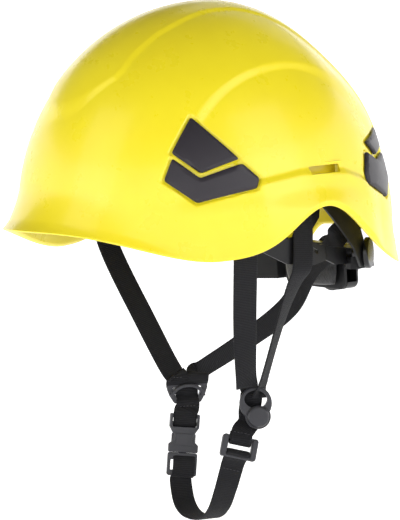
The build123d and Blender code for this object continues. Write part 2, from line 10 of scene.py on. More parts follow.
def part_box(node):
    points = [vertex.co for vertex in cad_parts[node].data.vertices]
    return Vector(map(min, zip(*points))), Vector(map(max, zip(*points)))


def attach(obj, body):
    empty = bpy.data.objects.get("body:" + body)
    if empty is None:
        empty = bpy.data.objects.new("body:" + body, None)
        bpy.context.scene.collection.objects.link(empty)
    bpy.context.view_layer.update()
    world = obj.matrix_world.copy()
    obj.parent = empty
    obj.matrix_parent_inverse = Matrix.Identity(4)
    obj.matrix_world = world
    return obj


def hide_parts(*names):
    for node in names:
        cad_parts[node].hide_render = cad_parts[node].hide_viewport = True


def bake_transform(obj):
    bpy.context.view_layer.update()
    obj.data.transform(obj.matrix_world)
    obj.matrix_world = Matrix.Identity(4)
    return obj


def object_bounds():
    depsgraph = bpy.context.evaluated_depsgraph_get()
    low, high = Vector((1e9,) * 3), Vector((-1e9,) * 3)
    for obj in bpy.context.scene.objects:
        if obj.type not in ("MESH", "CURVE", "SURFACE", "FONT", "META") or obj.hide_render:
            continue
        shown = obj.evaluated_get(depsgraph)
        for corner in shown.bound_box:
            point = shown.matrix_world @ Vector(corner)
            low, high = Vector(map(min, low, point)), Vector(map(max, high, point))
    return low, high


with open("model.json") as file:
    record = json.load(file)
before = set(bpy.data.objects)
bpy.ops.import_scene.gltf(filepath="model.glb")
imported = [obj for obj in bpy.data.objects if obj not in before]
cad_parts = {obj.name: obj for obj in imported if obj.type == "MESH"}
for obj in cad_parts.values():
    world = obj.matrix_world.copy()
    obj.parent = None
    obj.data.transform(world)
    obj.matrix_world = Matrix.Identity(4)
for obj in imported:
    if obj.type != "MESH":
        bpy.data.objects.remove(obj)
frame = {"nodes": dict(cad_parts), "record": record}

CAD_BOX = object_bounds()
MM = 0.001
NODES = frame["nodes"]
BODY = {n: b for b, group in frame["record"]["behaviour"]["bodies"].items() for n in group}
SLOT = {s["node"]: s["material_slot"] for s in frame["record"]["subparts"]}


# ------------------------------------------------------------------ camera, light and floor

# Degrees, the azimuth from the front to the wearer's left; then metres from the origin
CAMERA_AZIMUTH, CAMERA_ELEVATION, CAMERA_ROLL = 56.88, 4.31, 2.94
CAMERA_DISTANCE = 1.597
CAMERA_AIM_RIGHT, CAMERA_AIM_UP = -0.0155, -0.0408
# Lens and sensor in mm
LENS, SENSOR = 168.5, 36.0
FLOOR_GAP = 0.004
FLOOR_TURNS = 96
# Radius and height of the floor's edge as it sweeps up into a backdrop, in metres
SWEEP = [(8.0, 0), (9.0, 0.1), (9.8, 0.5), (10.4, 1.2), (10.8, 2.2), (11.0, 3.4), (11.1, 5.0)]


def add_camera():
    """The camera that took the photo, solved from points on the helmet."""
    azimuth, elevation = math.radians(CAMERA_AZIMUTH), math.radians(CAMERA_ELEVATION)
    roll = math.radians(CAMERA_ROLL)
    back = Vector((math.sin(azimuth) * math.cos(elevation),
                   -math.cos(azimuth) * math.cos(elevation), math.sin(elevation)))
    right = Vector((math.cos(azimuth), math.sin(azimuth), 0))
    up = back.cross(right)
    place = back * CAMERA_DISTANCE
    target = right * CAMERA_AIM_RIGHT + up * CAMERA_AIM_UP
    z = (place - target).normalized()
    x = (right - z * right.dot(z)).normalized()
    y = z.cross(x)
    turned_x = x * math.cos(roll) - y * math.sin(roll)
    turned_y = x * math.sin(roll) + y * math.cos(roll)
    data = bpy.data.cameras.new("camera")
    data.lens = LENS
    data.sensor_width = SENSOR
    cam = bpy.data.objects.new("camera", data)
    cam.matrix_world = Matrix((turned_x, turned_y, z)).transposed().to_4x4()
    cam.location = place
    bpy.context.scene.collection.objects.link(cam)
    bpy.context.scene.camera = cam


def add_light(name, azimuth, elevation, distance, size, power):
    """A soft lamp facing the origin; angles in degrees, azimuth from the front to the wearer's left."""
    a, e = math.radians(azimuth), math.radians(elevation)
    way = Vector((math.sin(a) * math.cos(e), -math.cos(a) * math.cos(e), math.sin(e)))
    data = bpy.data.lights.new(name, "AREA")
    data.shape = "RECTANGLE"
    data.size, data.size_y = size
    data.energy = power
    lamp = bpy.data.objects.new(name, data)
    lamp.location = way * distance
    lamp.rotation_mode = "QUATERNION"
    lamp.rotation_quaternion = way.to_track_quat("Z", "Y")
    bpy.context.scene.collection.objects.link(lamp)


def add_studio():
    """White surroundings, three soft lamps and a floor that sweeps up behind the helmet."""
    world = bpy.data.worlds.new("studio")
    world.use_nodes = True
    sky = world.node_tree.nodes["Background"]
    sky.inputs["Color"].default_value = (1, 1, 1, 1)
    sky.inputs["Strength"].default_value = 0.12
    bpy.context.scene.world = world
    bpy.context.scene.view_settings.view_transform = "Standard"
    add_light("key", 8, 28, 1.5, (0.8, 1.2), 3.6)
    add_light("side", 108, 20, 1.5, (0.7, 1.2), 4.2)
    add_light("back", 215, 40, 1.8, (1.2, 0.8), 1.8)
    floor_mesh = bpy.data.meshes.new("floor")
    step = 2 * math.pi / FLOOR_TURNS
    ring = [(r * math.cos(i * step), r * math.sin(i * step), z) for r, z in SWEEP for i in range(FLOOR_TURNS)]
    walls = []
    for k in range(len(SWEEP) - 1):
        low, high = k * FLOOR_TURNS, (k + 1) * FLOOR_TURNS
        for i in range(FLOOR_TURNS):
            j = (i + 1) % FLOOR_TURNS
            walls.append((low + i, low + j, high + j, high + i))
    floor_mesh.from_pydata(ring, [], [list(range(FLOOR_TURNS))] + walls)
    floor = bpy.data.objects.new("floor", floor_mesh)
    floor.location.z = CAD_BOX[0].z - FLOOR_GAP
    bpy.context.scene.collection.objects.link(floor)
    paper = bpy.data.materials.new("floor")
    paper.use_nodes = True
    shader = paper.node_tree.nodes["Principled BSDF"]
    shader.inputs["Base Color"].default_value = (0.93, 0.93, 0.93, 1)
    shader.inputs["Emission Color"].default_value = (1, 1, 1, 1)
    shader.inputs["Emission Strength"].default_value = 0.9
    shader.inputs["Roughness"].default_value = 0.9
    floor_mesh.materials.append(paper)


add_camera()
add_studio()


# ------------------------------------------------------------------ materials

class Nodes:
    """A short way to build a material's node tree."""

    def __init__(self, name):
        self.material = bpy.data.materials.new(name)
        self.material.use_nodes = True
        self.tree = self.material.node_tree
        self.shader = self.tree.nodes["Principled BSDF"]
        self.place = self.tree.nodes.new("ShaderNodeTexCoord").outputs["Object"]

    def node(self, kind, **inputs):
        n = self.tree.nodes.new("ShaderNode" + kind)
        for key, value in inputs.items():
            key = key.replace("_", " ")
            if hasattr(value, "is_output"):
                self.tree.links.new(value, n.inputs[key])
            else:
                n.inputs[key].default_value = value
        return n

    def noise(self, scale, detail=3.0, stretch=None, rough=0.55):
        where = self.place
        if stretch:
            where = self.node("Mapping", Vector=where, Scale=stretch).outputs[0]
        return self.node("TexNoise", Vector=where, Scale=scale, Detail=detail, Roughness=rough).outputs["Fac"]

    def math(self, operation, a, b=0.5):
        n = self.tree.nodes.new("ShaderNodeMath")
        n.operation = operation
        for i, value in enumerate((a, b)):
            if hasattr(value, "is_output"):
                self.tree.links.new(value, n.inputs[i])
            else:
                n.inputs[i].default_value = value
        return n.outputs[0]

    def ramp(self, value, low, high, start=0.0, end=1.0):
        n = self.tree.nodes.new("ShaderNodeMapRange")
        self.tree.links.new(value, n.inputs["Value"])
        n.inputs["From Min"].default_value, n.inputs["From Max"].default_value = start, end
        n.inputs["To Min"].default_value, n.inputs["To Max"].default_value = low, high
        return n.outputs[0]

    def colour(self, fac, dark, light):
        n = self.tree.nodes.new("ShaderNodeMix")
        n.data_type = "RGBA"
        self.tree.links.new(fac, n.inputs[0])
        n.inputs[6].default_value = (*dark, 1)
        n.inputs[7].default_value = (*light, 1)
        self.tree.links.new(n.outputs[2], self.shader.inputs["Base Color"])

    def bump(self, height, strength, distance):
        n = self.node("Bump", Strength=strength, Distance=distance, Height=height)
        self.tree.links.new(n.outputs[0], self.shader.inputs["Normal"])

    def uniform(self, **values):
        for key, value in values.items():
            self.shader.inputs[key.replace("_", " ")].default_value = value


def plastic(name, dark, light, rough, grain=900.0, grain_strength=0.25, coat=0.0, blotch=14.0,
            shine=0.5):
    """Moulded plastic: a faint drift of colour, a little grain and worn, uneven gloss."""
    n = Nodes(name)
    n.colour(n.ramp(n.noise(blotch, 4), 0, 1, 0.3, 0.7), dark, light)
    wear = n.noise(60, 5, rough=0.6)
    n.tree.links.new(n.ramp(wear, rough * 0.82, rough * 1.2, 0.3, 0.7), n.shader.inputs["Roughness"])
    n.bump(n.noise(grain, 2), grain_strength, 0.00012)
    n.uniform(Coat_Weight=coat, Coat_Roughness=0.12, Specular_IOR_Level=shine)
    return n.material


# Weave of the webbing in mm: across it and along it
RIB_PITCH, YARN_PITCH = 0.85, 1.25


def webbing(name, dark, light):
    """Woven tape: ribs across it and yarns along it, laid out on its own flat map."""
    n = Nodes(name)
    where = n.tree.nodes.new("ShaderNodeUVMap")
    where.uv_map = "weave"
    split = n.node("SeparateXYZ", Vector=where.outputs[0])
    across = n.math("SINE", n.math("MULTIPLY", split.outputs[0], 2 * math.pi / RIB_PITCH))
    along = n.math("SINE", n.math("MULTIPLY", split.outputs[1], 2 * math.pi / YARN_PITCH))
    weave = n.math("MULTIPLY", across, along)
    yarn = n.math("ADD", n.math("MULTIPLY", weave, 0.35), n.math("MULTIPLY", along, 0.3))
    fuzz = n.math("ADD", yarn, n.noise(2600, 2))
    n.colour(n.ramp(fuzz, 0, 1, -0.1, 1.1), dark, light)
    n.bump(fuzz, 0.7, 0.00025)
    n.uniform(Roughness=0.8, Sheen_Weight=0.06, Sheen_Roughness=0.4, Specular_IOR_Level=0.2)
    return n.material


def knit(name, dark, light):
    """Knitted cloth over foam: small cells and a soft sheen."""
    n = Nodes(name)
    cells = n.tree.nodes.new("ShaderNodeTexVoronoi")
    cells.inputs["Scale"].default_value = 900
    n.tree.links.new(n.place, cells.inputs["Vector"])
    n.colour(n.ramp(n.noise(300, 3), 0, 1, 0.3, 0.7), dark, light)
    n.bump(cells.outputs["Distance"], 0.6, 0.0003)
    n.uniform(Roughness=0.9, Sheen_Weight=0.4, Sheen_Roughness=0.5)
    return n.material


LOOK = {
    "shell_yellow": plastic("shell_yellow", (0.86, 0.70, 0.012), (0.93, 0.78, 0.02), 0.30,
                            grain=700, grain_strength=0.10, coat=0.25, blotch=9),
    "clip_plastic": plastic("clip_plastic", (0.018, 0.015, 0.020), (0.028, 0.024, 0.030), 0.33,
                            grain=1500, grain_strength=0.2, shine=0.35),
    "band_plastic": plastic("band_plastic", (0.008, 0.008, 0.009), (0.015, 0.015, 0.017), 0.42,
                            grain=1200, grain_strength=0.3, shine=0.22),
    "gloss_black": plastic("gloss_black", (0.006, 0.006, 0.007), (0.011, 0.011, 0.013), 0.22,
                           grain=1500, grain_strength=0.15, shine=0.45),
    "buckle_plastic": plastic("buckle_plastic", (0.034, 0.034, 0.040), (0.048, 0.048, 0.056), 0.36,
                              grain=1600, grain_strength=0.25, shine=0.3),
    "webbing": webbing("webbing", (0.004, 0.004, 0.005), (0.017, 0.017, 0.020)),
    "comfort_foam": knit("comfort_foam", (0.018, 0.018, 0.020), (0.034, 0.034, 0.037)),
}
THREAD = plastic("thread", (0.030, 0.030, 0.034), (0.060, 0.060, 0.066), 0.7)


# ------------------------------------------------------------------ mesh helpers

def link(name, mesh, look, body, replaced=()):
    """Makes an object that rides on a body, and hides the CAD nodes it stands for."""
    obj = bpy.data.objects.new(name, mesh)
    bpy.context.scene.collection.objects.link(obj)
    mesh.materials.clear()
    mesh.materials.append(LOOK[look] if isinstance(look, str) else look)
    if body:
        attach(obj, body)
    if replaced:
        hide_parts(*replaced)
    return obj


def smooth_shade(mesh, angle):
    """Smooth shading, with edges sharper than an angle in degrees kept sharp."""
    mesh.shade_smooth()
    mesh.set_sharp_from_angle(angle=math.radians(angle))


# Degrees: edges sharper than the first are rounded, and faces flatter than the second are joined
EDGE_ANGLE, FLAT_ANGLE = 30, 1.5


def refined(node, width, segments=2):
    """A CAD node with its hard edges rounded."""
    mesh = NODES[node].data.copy()
    mesh.name = "soft_" + node
    bm = bmesh.new()
    bm.from_mesh(mesh)
    bmesh.ops.remove_doubles(bm, verts=bm.verts, dist=1e-6)
    bmesh.ops.dissolve_limit(bm, angle_limit=math.radians(FLAT_ANGLE), verts=bm.verts, edges=bm.edges)
    bm.to_mesh(mesh)
    bm.free()
    obj = link("soft_" + node, mesh, SLOT[node], BODY[node], [node])
    if width:
        b = obj.modifiers.new("edges", "BEVEL")
        b.width, b.segments = width * MM, segments
        b.limit_method, b.angle_limit = "ANGLE", math.radians(EDGE_ANGLE)
        b.harden_normals = False
        b.use_clamp_overlap = True
    smooth_shade(mesh, 40)
    return obj


def grid_faces(rows, columns, closed=False, first=0):
    """Four-sided faces between rows of vertices; closed joins each row's last column to its first."""
    faces = []
    last = columns if closed else columns - 1
    for i in range(rows - 1):
        for j in range(last):
            a = first + i * columns + j
            b = first + i * columns + (j + 1) % columns
            faces.append((a, b, b + columns, a + columns))
    return faces


def spline(points, count):
    """Even steps along a Catmull-Rom curve through points. Rows of points may carry any columns."""
    p = np.array(points, float)
    p = np.vstack([2 * p[0] - p[1], p, 2 * p[-1] - p[-2]])
    fine = []
    for i in range(1, len(p) - 2):
        knots = [0.0]
        for k in range(3):
            gap = np.linalg.norm(p[i + k, :3] - p[i + k - 1, :3])
            knots.append(knots[-1] + max(gap, 1e-9) ** 0.5)
        t = np.linspace(knots[1], knots[2], 40, endpoint=i == len(p) - 3)[:, None]

        def mix(a, b, ta, tb):
            return (tb - t) / (tb - ta) * a + (t - ta) / (tb - ta) * b

        a1, a2, a3 = (mix(p[i + k - 1], p[i + k], knots[k], knots[k + 1]) for k in range(3))
        b1, b2 = mix(a1, a2, knots[0], knots[2]), mix(a2, a3, knots[1], knots[3])
        fine.append(mix(b1, b2, knots[1], knots[2]))
    fine = np.vstack(fine)
    run = np.concatenate([[0], np.cumsum(np.linalg.norm(np.diff(fine[:, :3], axis=0), axis=1))])
    want = np.linspace(0, run[-1], count)
    return np.stack([np.interp(want, run, fine[:, k]) for k in range(fine.shape[1])], axis=1), run[-1]


# Pitch and height of the ribs across the webbing, in mm
RIB = 1.25
RIB_HEIGHT = 0.07
# Where a tape's vertices lie across it, as shares of its half-width
ACROSS_TAPE = [-1, -0.97, -0.9, -0.75, -0.5, -0.25, 0, 0.25, 0.5, 0.75, 0.9, 0.97, 1]


def tape(name, stations, body, replaced=(), width=15.0, thick=1.25, taper=None):
    """Flat webbing with ribs across it. Stations are centres and width directions, in mm."""
    rows = [(*c, *Vector(w).normalized()) for c, w in stations]
    rough = sum((Vector(a[:3]) - Vector(b[:3])).length for a, b in zip(rows, rows[1:]))
    count = max(int(rough / (RIB / 4)), 8)
    line, length = spline(rows, count)
    centre, wide = line[:, :3], line[:, 3:]
    ahead = np.gradient(centre, axis=0)
    ahead /= np.linalg.norm(ahead, axis=1)[:, None]
    wide = wide - ahead * (wide * ahead).sum(1)[:, None]
    wide /= np.linalg.norm(wide, axis=1)[:, None]
    out = np.cross(wide, ahead)
    run = np.linspace(0, length, count)
    half = width / 2
    ring = [(u, 1) for u in ACROSS_TAPE] + [(u, -1) for u in reversed(ACROSS_TAPE)]
    verts = []
    uvs = []
    for u, side in ring:
        edge = math.sqrt(max(1 - abs(u) ** 14, 0.0)) * 0.85 + 0.15
        ribs = RIB_HEIGHT * np.cos(run * 2 * math.pi / RIB) * (1 if abs(u) < 0.95 else 0)
        level = thick / 2 * edge + ribs
        grow = 1.0 if taper is None else taper(run / length)
        p = centre + wide * (u * half * np.ones(count) * grow)[:, None] + out * (side * level)[:, None]
        verts.append(p)
        uvs.append(np.stack([np.full(count, u * half), run], axis=1))
    n = len(ring)
    verts = np.stack(verts, axis=1).reshape(-1, 3)
    uvs = np.stack(uvs, axis=1).reshape(-1, 2)
    faces = grid_faces(count, n, closed=True)
    faces.append(tuple(range(n - 1, -1, -1)))
    faces.append(tuple((count - 1) * n + i for i in range(n)))
    mesh = bpy.data.meshes.new(name)
    mesh.from_pydata((verts * MM).tolist(), [], faces)
    layer = mesh.uv_layers.new(name="weave")
    index = np.zeros(len(mesh.loops), np.int32)
    mesh.loops.foreach_get("vertex_index", index)
    layer.data.foreach_set("uv", uvs[index].astype(np.float32).ravel())
    smooth_shade(mesh, 60)
    return link(name, mesh, "webbing", body, replaced)


# Stitches in mm, and the number of rings and sides of each one's mesh
STITCH_PITCH, STITCH_LENGTH, STITCH_RADIUS = 2.3, 1.6, 0.22
STITCH_STEPS, STITCH_SIDES = 7, 6


def stitches(name, lines, body):
    """Lines of stitches: each line is a start, an end and the way its threads stand up, in mm."""
    verts, faces = [], []
    for start, end, up in lines:
        start, end, up = Vector(start), Vector(end), Vector(up).normalized()
        way = (end - start).normalized()
        side = way.cross(up).normalized()
        for i in range(int((end - start).length / STITCH_PITCH)):
            middle = start + way * (i + 0.5) * STITCH_PITCH
            first = len(verts)
            for s in range(STITCH_STEPS):
                t = s / (STITCH_STEPS - 1) * 2 - 1
                radius = STITCH_RADIUS * math.sqrt(max(1 - t * t, 0.02))
                for k in range(STITCH_SIDES):
                    a = k * 2 * math.pi / STITCH_SIDES
                    verts.append((middle + way * (t * STITCH_LENGTH / 2) + side * (radius * math.cos(a))
                                  + up * (radius * math.sin(a))) * MM)
            faces += grid_faces(STITCH_STEPS, STITCH_SIDES, closed=True, first=first)
            last = first + (STITCH_STEPS - 1) * STITCH_SIDES
            faces.append(tuple(first + k for k in range(STITCH_SIDES - 1, -1, -1)))
            faces.append(tuple(last + k for k in range(STITCH_SIDES)))
    mesh = bpy.data.meshes.new(name)
    mesh.from_pydata(verts, [], faces)
    mesh.shade_smooth()
    return link(name, mesh, THREAD, body)


# ------------------------------------------------------------------ shell

FRONT_REACH, REAR_REACH, HALF_WIDTH = 140.0, 114.5, 105.8
CROWN_HEIGHT, WIDEST_LEVEL, CROWN_LEAN = 128.0, -14.0, -5.0
WALL = 3.2
BRIM_REACH, BRIM_ANGLE, RIM_FLARE = 9.0, 55.0, 3.5
FLARE_HEIGHT, FLARE_POWER = 28.0, 1.7
BRIM_LEVEL, BRIM_FALL = -8.0, 22.7
SIDE_FALL, LOBE_FALL, NAPE_RISE = 2.0, 20.0, 20.0
EAR_ARCH, EAR_ARCH_Y, EAR_ARCH_REACH = 27.0, 7.6, 34.0
# The rolled lip under the brim: depth, angle from the front at which it ends, height and power
BRIM_LIP, LIP_ANGLE, LIP_HEIGHT, LIP_POWER = 3.0, 66, 8, 1.6
# How far the rear shoulders lie below the plain surface, and where: angle from the front and level
SHOULDER_SINK = 3.2
SHOULDER_ANGLE, SHOULDER_SPREAD, SHOULDER_LEVEL, SHOULDER_REACH = 147, 26, 96, 30


def ease(x):
    """A smooth step from 0 to 1."""
    x = np.clip(x, 0, 1)
    return x * x * (3 - 2 * x)


def rim_height(y):
    """Level of the lower edge, from the brim back past the ear arch and rear lobes to the nape arch."""
    front = BRIM_LEVEL - BRIM_FALL * ease((y + 158) / 93)
    arch = EAR_ARCH * np.exp(-((y - EAR_ARCH_Y) / EAR_ARCH_REACH) ** 2)
    lowered = SIDE_FALL * ease((20 - y) / 50)
    return front - lowered - LOBE_FALL * ease((y - 22) / 84.5) + arch + NAPE_RISE * ease((y - 101) / 10)


def plan(angle, z, out):
    """The egg-shaped outline at a level, without the flare; angle 0 is the front."""
    level = np.clip((z - WIDEST_LEVEL) / (CROWN_HEIGHT + out - WIDEST_LEVEL), 0, 1)
    share = np.sqrt(1 - level * level)
    c = np.cos(angle)
    reach = (FRONT_REACH + REAR_REACH) / 2 + (FRONT_REACH - REAR_REACH) / 2 * c * (1.5 - 0.5 * c * c)
    return (HALF_WIDTH + out) * share * np.sin(angle), CROWN_LEAN * level - (reach + out) * share * c


def flare_at(angle):
    """How far the rim stands out, most of all at the brim."""
    turned = np.abs((angle + np.pi) % (2 * np.pi) - np.pi)
    return RIM_FLARE + BRIM_REACH * (1 - ease(turned / math.radians(BRIM_ANGLE)))


def rim_at(angle):
    """Level of the rim at an angle, found by trying again from the last level."""
    z = np.full_like(angle, -20.0)
    for _ in range(8):
        z = rim_height(plan(angle, z, 0)[1] - flare_at(angle) * np.cos(angle))
    return z


def surface(angle, z, rim, out):
    """Point on the shell, out millimetres outside its plain surface."""
    x, y = plan(angle, z, out)
    flare = flare_at(angle) * np.clip(1 - (z - rim) / FLARE_HEIGHT, 0, None) ** FLARE_POWER
    turned = np.degrees(np.abs((angle + np.pi) % (2 * np.pi) - np.pi))
    lip = np.clip(1 - (z - rim) / LIP_HEIGHT, 0, None) ** LIP_POWER
    flare = flare + BRIM_LIP * (1 - ease(turned / LIP_ANGLE)) * lip
    sink = SHOULDER_SINK * np.exp(-((turned - SHOULDER_ANGLE) / SHOULDER_SPREAD) ** 2)
    sink = sink * np.exp(-((z - SHOULDER_LEVEL) / SHOULDER_REACH) ** 2)
    flare = flare - 0.75 * sink
    return np.stack([x + flare * np.sin(angle), y - flare * np.cos(angle), z - 0.65 * sink], axis=-1)


def outline_distance(points, outline):
    """Distance from 2-D points to a closed outline, negative inside it."""
    best = np.full(points.shape[:-1], 1e9)
    inside = np.zeros(points.shape[:-1], bool)
    x, y = points[..., 0], points[..., 1]
    for (ax, ay), (bx, by) in zip(outline, outline[1:] + outline[:1]):
        dx, dy = bx - ax, by - ay
        t = np.clip(((x - ax) * dx + (y - ay) * dy) / (dx * dx + dy * dy), 0, 1)
        best = np.minimum(best, np.hypot(x - ax - t * dx, y - ay - t * dy))
        crosses = (ay > y) != (by > y)
        with np.errstate(divide="ignore", invalid="ignore"):
            inside ^= crosses & (x < (bx - ax) * (y - ay) / (by - ay) + ax)
    return np.where(inside, -best, best)


# The crown band's half-width at angles round the head from the front, over the crown and down the back
BAND_EDGE = [(30.6, 0), (31.0, 7.9), (32.1, 13.7), (34.1, 20.3), (37.9, 27.3), (41.2, 31.8), (44.5, 32.6),
             (48.5, 31.5), (54.0, 31), (60.6, 30), (67, 30), (73.7, 28.8), (79.6, 27.8), (88, 29.5),
             (94, 33.5), (100, 37.5), (112, 43), (128, 47), (145, 49), (156, 46), (163, 38), (167, 24),
             (168.5, 0)]
BAND_RADIUS = 133.0
# How far each feature stands out of the plain surface or lies below it, in mm
BAND_RISE = 1.15
PANEL_DEPTH = 1.5
LEDGE = 2.3
# The ledge's upper edge: positions from front to back, and the level at each
LEDGE_TOP = ([-60, -45, -33, -21, -6, 10, 30, 44, 55, 66],
             [11, 15.5, 18.5, 20.3, 22.3, 22.4, 20.2, 15.5, 9, 1])
LEDGE_HEIGHT = 5.6
POCKET = 1.5
POCKET_GAP = 1.3
LIP_STEP = 1.0
DEEPEST = -2.5

FRONT_CENTRE = Vector((86, -62, 28))
REAR_CENTRE = Vector((76, 70, 18))
FRONT_COVER = [(75.5, -68, 57.3), (93, -45.5, 30.3), (86.4, -69.8, 23.1), (76, -83.6, 36.3)]
FRONT_CLIP = [(77, -83.8, 33.2), (76.2, -90.2, 19.9), (86.9, -73.9, 5.2), (98.4, -37, 11.5),
              (98.0, -34.5, 17.5), (93.9, -44, 27.3), (86.6, -70.5, 20.2)]
REAR_COVER = [(52, 87, 41), (82.5, 58, 33), (79, 68, 24), (64, 80.5, 27)]
REAR_CLIP = [(63, 81.5, 24.2), (66, 88, 8), (78.5, 76, -4), (91, 50, 7), (90.5, 50, 15),
             (86, 55, 27), (79.5, 68.5, 20.8)]


def facing(centre, side=1):
    """Flat frame square to the shell at a centre: across, up and out."""
    centre = Vector((centre[0] * side, centre[1], centre[2]))
    out = centre.normalized()
    across = Vector((0, 0, 1)).cross(out).normalized()
    return centre, across, out.cross(across), out


def flat_outline(corners, centre, side=1):
    """Corners as 2-D points in the frame square to the shell."""
    origin, across, up, _ = facing(centre, side)
    flat = []
    for x, y, z in corners:
        p = Vector((x * side, y, z)) - origin
        flat.append((p.dot(across), p.dot(up)))
    return flat


def relief(p):
    """How far each point of the outer surface stands out of the plain surface."""
    x, y, z = np.abs(p[..., 0]), p[..., 1], p[..., 2]
    turn = np.degrees(np.arctan2(z, -y))
    turn = np.where(turn < -90, turn + 360, turn)
    chart = np.stack([x, np.radians(turn) * BAND_RADIUS], axis=-1)
    half = [(w, math.radians(a) * BAND_RADIUS) for a, w in BAND_EDGE]
    band = outline_distance(chart, half + [(-w, s) for w, s in reversed(half) if w > 0])
    bevel = 4.6 + 9.5 * (1 - ease((turn - 30) / 13)) * ease((40 - x) / 25) + 10 * ease((turn - 150) / 15)
    d = BAND_RISE * ease((bevel - np.maximum(band, 0)) / bevel)

    q = np.hypot((y - 3) / 93, z / 88)
    theta = np.degrees(np.arctan2(z, -(y - 3)))
    width = 0.060 + 0.03 * ease((70 - theta) / 45) + 0.11 * ease((theta - 95) / 45)
    side = ease((x - 28) / 14)
    panel = ease((1 - q) / width) * side * ease((z + 4) / 14)
    d = d - PANEL_DEPTH * panel

    top = np.interp(y, *LEDGE_TOP)
    fade = ease((y + 56) / 24) * ease((66 - y) / 20)
    ledge = ease((top - z) / LEDGE_HEIGHT) * fade * ease((x - 60) / 20)
    d = d + LEDGE * ledge
    above = z - rim_height(y)
    lip = ease((4.2 - above) / 2.4) * ease((52 - np.abs(y - 8)) / 16)
    d = d - LIP_STEP * lip
    for corners, centre in ((FRONT_COVER + FRONT_CLIP, FRONT_CENTRE), (REAR_COVER + REAR_CLIP, REAR_CENTRE)):
        origin, across, up, _ = (np.array(v) for v in facing(centre))
        rel = np.stack([x, y, z], axis=-1) - origin
        flat = np.stack([rel @ across, rel @ up], axis=-1)
        cover, clip = corners[:4], corners[4:]
        gap = np.minimum(outline_distance(flat, flat_outline(cover, centre)),
                         outline_distance(flat, flat_outline(clip, centre)))
        near = np.linalg.norm(rel, axis=-1) < 60
        d = np.where(near, d - POCKET * ease((POCKET_GAP + 0.35 - gap) / 0.7), d)
    return np.maximum(d, DEEPEST)


def shell_mesh(columns=960, rows=300, inner_rows=90, rim_rows=8):
    """The shell as rings of vertices: the outside with its relief, a rounded rim and the inside."""
    angle = np.linspace(0, 2 * np.pi, columns, endpoint=False)
    rim = rim_at(angle)
    lift = 1.4
    share = np.linspace(0, 1, rows)[1:-1, None]
    z = rim + lift + (CROWN_HEIGHT - rim - lift) * np.sin(share * np.pi / 2)
    angles = np.broadcast_to(angle, z.shape)
    rims = np.broadcast_to(rim, z.shape)
    base = surface(angles, z, rims, 0)
    up = np.gradient(base, axis=0)
    round_ = (np.roll(base, -1, axis=1) - np.roll(base, 1, axis=1))
    normal = np.cross(round_, up)
    normal /= np.linalg.norm(normal, axis=-1)[..., None] + 1e-12
    if (normal[0, :, :2] * base[0, :, :2]).sum() < 0:
        normal = -normal
    outer = base + normal * relief(base)[..., None]
    inner_share = np.linspace(0, 1, inner_rows)[1:-1, None]
    zi = rim + lift + (CROWN_HEIGHT - WALL - rim - lift) * np.sin(inner_share * np.pi / 2)
    inner = surface(np.broadcast_to(angle, zi.shape), zi, np.broadcast_to(rim, zi.shape), -WALL)
    # The rounded rim joins the outside to the inside
    first, last = outer[0], inner[0]
    middle = (first + last) / 2
    reach = (first - last) / 2
    lip = []
    for k in range(1, rim_rows):
        a = math.pi * k / rim_rows
        p = middle + reach * math.cos(a)
        p = p - np.array([0, 0, 1.0]) * (lift + 0.2) * math.sin(a) ** 0.8
        lip.append(p)
    grid = np.concatenate([outer[::-1], np.stack(lip), inner])
    n_rows = len(grid)
    verts = grid.reshape(-1, 3)
    crown_out = np.array([[0, CROWN_LEAN, CROWN_HEIGHT + BAND_RISE]])
    crown_in = np.array([[0, CROWN_LEAN, CROWN_HEIGHT - WALL]])
    verts = np.vstack([verts, crown_out, crown_in]) * MM
    faces = [tuple(reversed(f)) for f in grid_faces(n_rows, columns, closed=True)]
    top, low = len(verts) - 2, len(verts) - 1
    for j in range(columns):
        k = (j + 1) % columns
        faces.append((top, k, j))
        faces.append((low, (n_rows - 1) * columns + j, (n_rows - 1) * columns + k))
    mesh = bpy.data.meshes.new("shell_look")
    mesh.from_pydata(verts.tolist(), [], faces)
    bm = bmesh.new()
    bm.from_mesh(mesh)
    bmesh.ops.recalc_face_normals(bm, faces=bm.faces)
    bm.to_mesh(mesh)
    bm.free()
    return mesh


def rounded_box(name, size, centre, round_=0.3):
    """A block with rounded edges, in mm."""
    bm = bmesh.new()
    bmesh.ops.create_cube(bm, size=1.0)
    for v in bm.verts:
        v.co = Vector((v.co.x * size[0], v.co.y * size[1], v.co.z * size[2])) * MM
    bmesh.ops.bevel(bm, geom=bm.edges[:], offset=round_ * MM, segments=3, affect="EDGES", profile=0.5)
    bm.transform(Matrix.Translation(Vector(centre) * MM))
    mesh = bpy.data.meshes.new(name)
    bm.to_mesh(mesh)
    bm.free()
    return mesh


def cut(obj, cutters):
    """Cuts meshes out of an object for good."""
    made = []
    for i, mesh in enumerate(cutters):
        c = bpy.data.objects.new(f"cutter_{i}", mesh)
        bpy.context.scene.collection.objects.link(c)
        made.append(c)
        b = obj.modifiers.new(f"cut_{i}", "BOOLEAN")
        b.operation, b.object = "DIFFERENCE", c
        b.solver = "MANIFOLD"
    bpy.context.view_layer.update()
    dg = bpy.context.evaluated_depsgraph_get()
    mesh = bpy.data.meshes.new_from_object(obj.evaluated_get(dg))
    obj.modifiers.clear()
    obj.data = mesh
    for c in made:
        bpy.data.objects.remove(c)
    return obj


def make_shell():
    """The shell with a slot for accessories over each ear."""
    mesh = shell_mesh()
    obj = link("shell_look", mesh, "shell_yellow", "helmet", ["shell"])
    cut(obj, [rounded_box("slot", (30, 25, 5.0), (side * 103, 13, 19.7), 1.2) for side in (1, -1)])
    smooth_shade(obj.data, 50)


make_shell()


# ------------------------------------------------------------------ lamp clips

